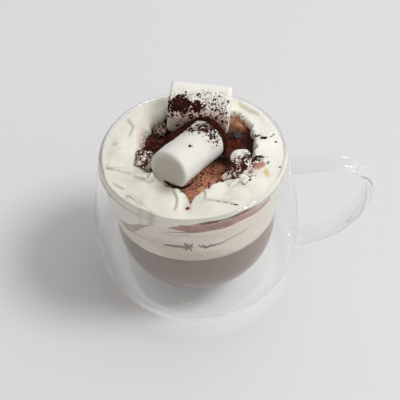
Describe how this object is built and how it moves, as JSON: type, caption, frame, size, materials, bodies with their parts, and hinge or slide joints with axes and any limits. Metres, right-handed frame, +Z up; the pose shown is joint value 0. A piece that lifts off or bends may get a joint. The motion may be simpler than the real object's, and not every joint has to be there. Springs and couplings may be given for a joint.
{
  "type": "hot chocolate in a glass cup",
  "caption": "Hot chocolate with cream, cocoa and marshmallows in a clear double-walled glass cup with a loop handle; the cup stands on its flat base.",
  "frame": {"origin": "middle of the cup's flat base, on the cup's axis", "axes": "+Z up along the cup's axis, +X towards the handle, -Y is the side seen first"},
  "size_m": [0.1312, 0.0958, 0.0952],
  "materials": {
    "glass": "clear and polished",
    "plug": "cloudy clear",
    "drink": "smooth milky drink",
    "milk_foam": "soft fine foam",
    "cocoa": "wet cocoa and dark chocolate",
    "whipped_cream": "soft satin cream",
    "marshmallow": "matt, sugar dusted, with cocoa",
    "dusted_cream": "cream dusted with cocoa"
  },
  "bodies": {
    "root": {"glass_cup": "glass", "seal_plug": "plug", "hot_chocolate": "drink", "lower_cream": "milk_foam", "chocolate_layer": "cocoa", "top_cream": "whipped_cream", "marshmallow_front": "marshmallow", "marshmallow_back": "marshmallow", "cocoa_lump_left": "dusted_cream", "cocoa_lump_back": "dusted_cream", "cream_curl": "dusted_cream"}
  },
  "joints": []
}
